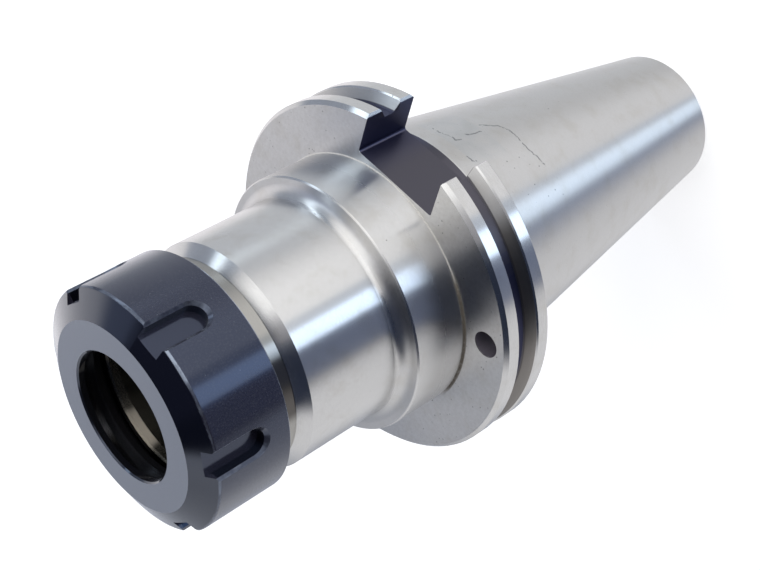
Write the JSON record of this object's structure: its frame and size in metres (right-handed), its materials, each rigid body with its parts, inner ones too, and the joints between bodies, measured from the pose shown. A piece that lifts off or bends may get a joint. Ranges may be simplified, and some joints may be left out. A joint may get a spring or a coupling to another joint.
{
  "type": "collet chuck holder",
  "caption": "Steep-taper tool holder with a grooved drive flange, a stepped round body and a slotted clamping nut around an empty collet seat.",
  "frame": {"origin": "centre of the gauge circle, where the taper is 69.85 mm wide", "axes": "+Z along the tool axis out of the nose, +X through the shallow drive slot; the holder stands on the small end of its taper"},
  "size_m": [0.0938, 0.0974, 0.198],
  "materials": {
    "ground_steel": "fine turned and ground, with light stains and small pits",
    "black_nut": "black oxide, satin, with worn bright edges",
    "black_ring": "black oxide, smooth",
    "spring_wire": "drawn spring wire",
    "screw_steel": "black oxide"
  },
  "bodies": {
    "holder": {"holder_body": "ground_steel", "coolant_screw_1": "screw_steel", "coolant_screw_2": "screw_steel"},
    "collet_ring": {"extractor_ring": "black_ring"},
    "nut": {"clamping_nut": "black_nut", "ring_retaining_wire": "spring_wire"}
  },
  "joints": [
    {"name": "nut_travel", "type": "slide", "parent": "holder", "child": "collet_ring", "axis": [0, 0, 1], "range_m": [0, 0.01275]},
    {"name": "nut_spin", "type": "hinge", "parent": "collet_ring", "child": "nut", "pos_m": [0, 0, 0.084], "axis": [0, 0, 1], "range_deg": [0, 3060]}
  ],
  "couplings": [
    {"joint": "nut_travel", "follows": "nut_spin", "m_per_rad": 0.00023873}
  ]
}
